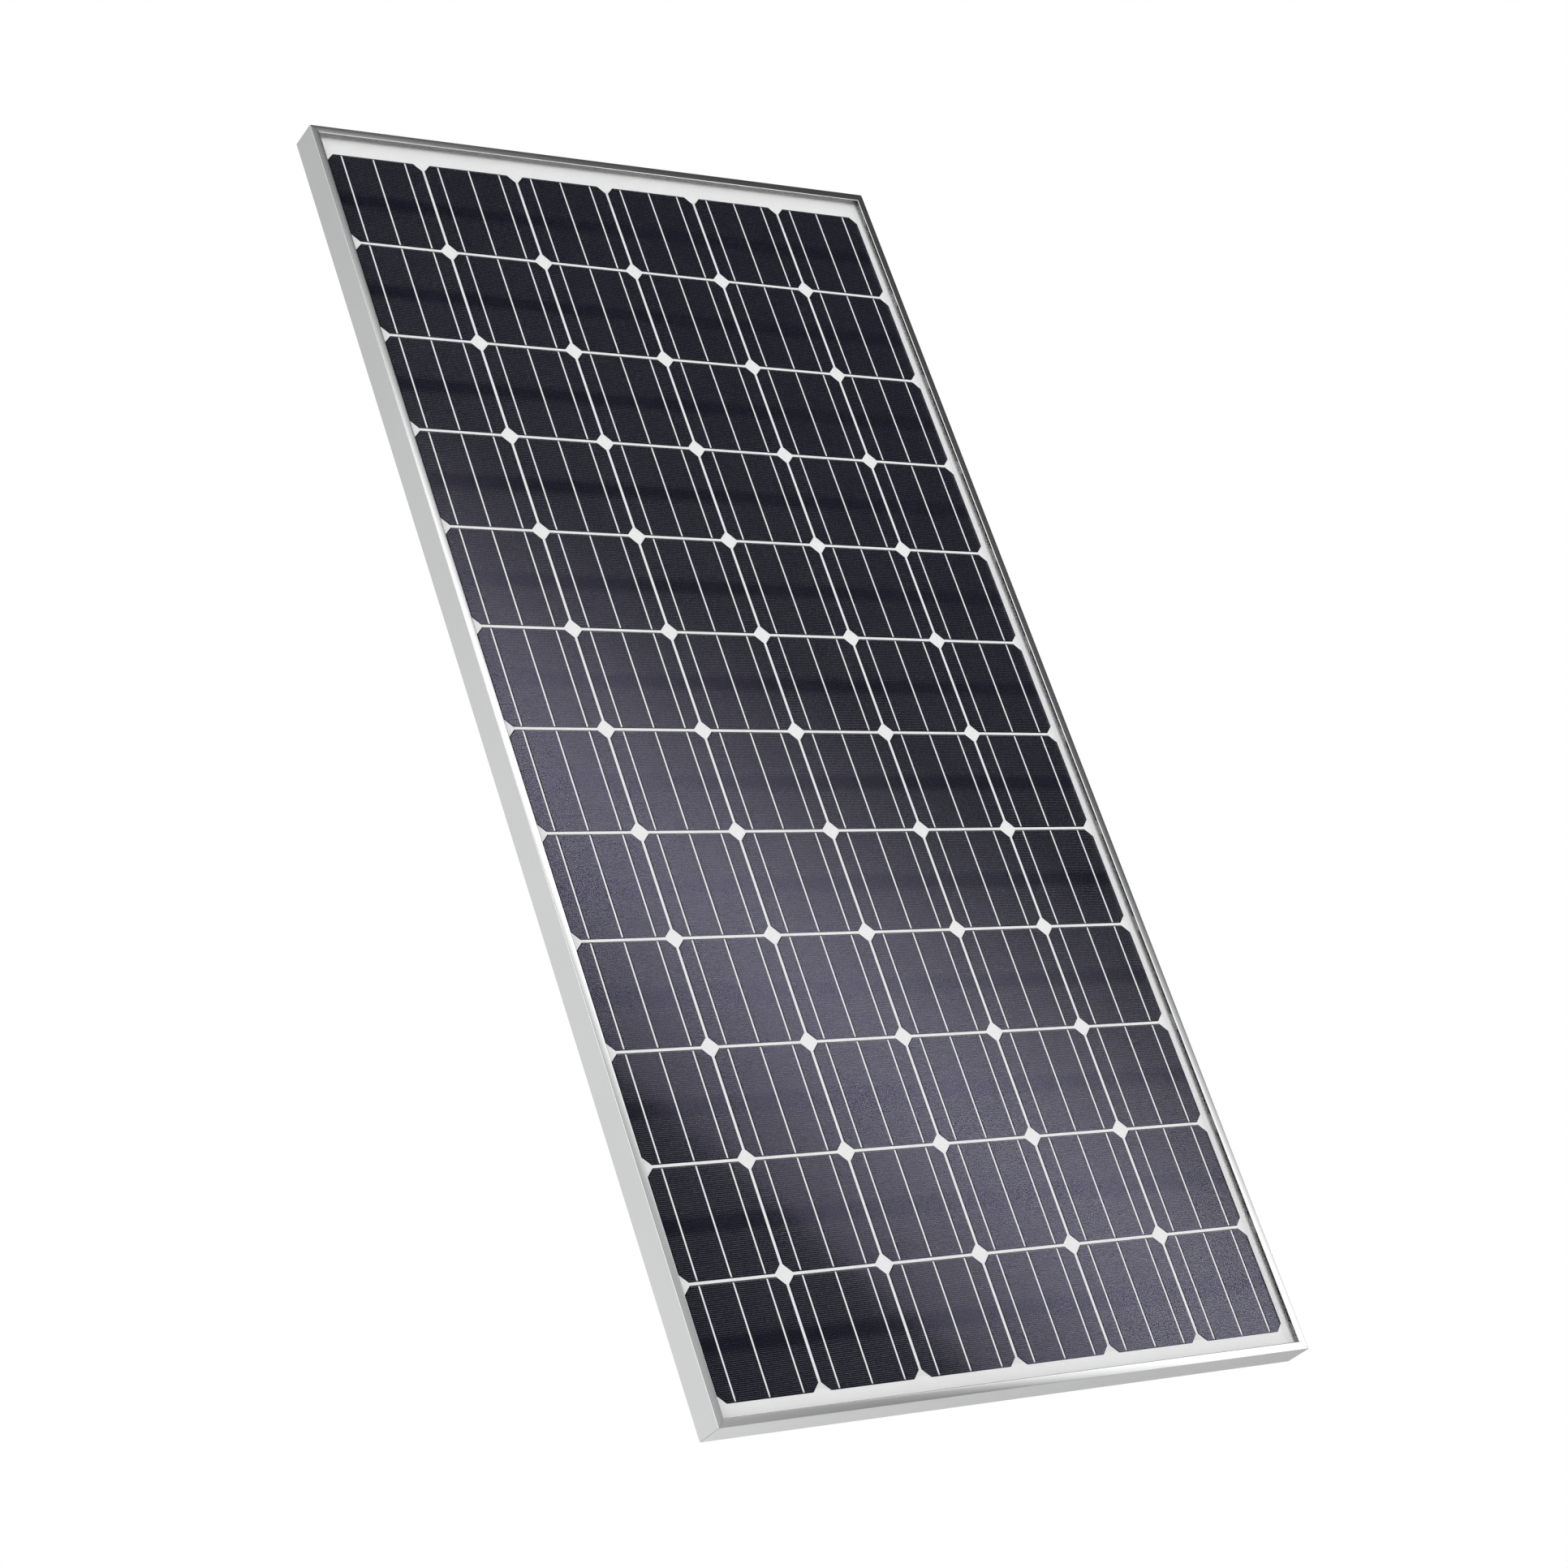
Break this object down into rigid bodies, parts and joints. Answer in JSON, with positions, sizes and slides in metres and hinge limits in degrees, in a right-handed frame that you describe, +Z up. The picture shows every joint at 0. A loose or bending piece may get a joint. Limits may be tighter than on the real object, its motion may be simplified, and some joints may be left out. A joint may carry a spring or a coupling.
{
  "type": "solar panel",
  "caption": "Framed monocrystalline solar panel: dark square-shouldered cells on white, under glass, in a silver aluminium frame, with a junction box behind.",
  "frame": {"origin": "middle of the panel's footprint when it stands upright, on the plane of its bottom edge", "axes": "+Z up the length of the panel towards the junction box, -Y out of the glass, +X to the right as seen from the glass side"},
  "size_m": [0.992, 0.045, 1.96],
  "materials": {
    "frame_aluminium": "satin silver anodised",
    "key_aluminium": "as extruded",
    "glass": "clear low-iron, tempered",
    "encapsulant": "clear film, cured",
    "cells": "near-black blue, anti-reflection coated",
    "insulation": "matt white",
    "tinned_copper": "tinned, satin",
    "backsheet": "matt white",
    "sealant": "matt, pale grey",
    "box_plastic": "fine-textured black",
    "rubber": "matt black",
    "steel": "bright drawn",
    "diode_epoxy": "moulded black"
  },
  "bodies": {
    "panel": {"left_rail": "frame_aluminium", "right_rail": "frame_aluminium", "bottom_rail": "frame_aluminium", "top_rail": "frame_aluminium", "corner_key_bottom_left": "key_aluminium", "corner_key_bottom_right": "key_aluminium", "corner_key_top_right": "key_aluminium", "corner_key_top_left": "key_aluminium", "front_glass": "glass", "front_encapsulant": "encapsulant", "cell_string_1": "cells", "cell_string_2": "cells", "cell_string_3": "cells", "cell_string_4": "cells", "cell_string_5": "cells", "cell_string_6": "cells", "bottom_insulation_strip": "insulation", "top_insulation_strip": "insulation", "bottom_bus_ribbon_1": "tinned_copper", "bottom_bus_ribbon_2": "tinned_copper", "bottom_bus_ribbon_3": "tinned_copper", "top_bus_ribbon_1": "tinned_copper", "top_bus_ribbon_2": "tinned_copper", "top_bus_ribbon_3": "tinned_copper", "top_bus_ribbon_4": "tinned_copper", "rear_encapsulant": "encapsulant", "backsheet": "backsheet", "edge_sealant": "sealant", "junction_box_adhesive": "sealant", "junction_box_base": "box_plastic", "junction_box_gasket": "rubber", "lid_hinge_pin": "steel", "contact_rail_1": "tinned_copper", "contact_rail_2": "tinned_copper", "contact_rail_3": "tinned_copper", "contact_rail_4": "tinned_copper", "bypass_diode_1": "diode_epoxy", "bypass_diode_2": "diode_epoxy", "bypass_diode_3": "diode_epoxy", "left_gland_seal": "rubber", "right_gland_seal": "rubber"},
    "lid": {"junction_box_lid": "box_plastic"},
    "left_nut": {"left_gland_nut": "box_plastic"},
    "right_nut": {"right_gland_nut": "box_plastic"}
  },
  "joints": [
    {"name": "lid_hinge", "type": "hinge", "parent": "panel", "child": "lid", "pos_m": [0, 0.0138, 1.9227], "axis": [1, 0, 0], "range_deg": [0, 110]},
    {"name": "left_nut_turn", "type": "hinge", "parent": "panel", "child": "left_nut", "pos_m": [-0.035, 0.0018, 1.796], "axis": [0, 0, -1], "continuous": true},
    {"name": "right_nut_turn", "type": "hinge", "parent": "panel", "child": "right_nut", "pos_m": [0.035, 0.0018, 1.796], "axis": [0, 0, -1], "continuous": true}
  ]
}
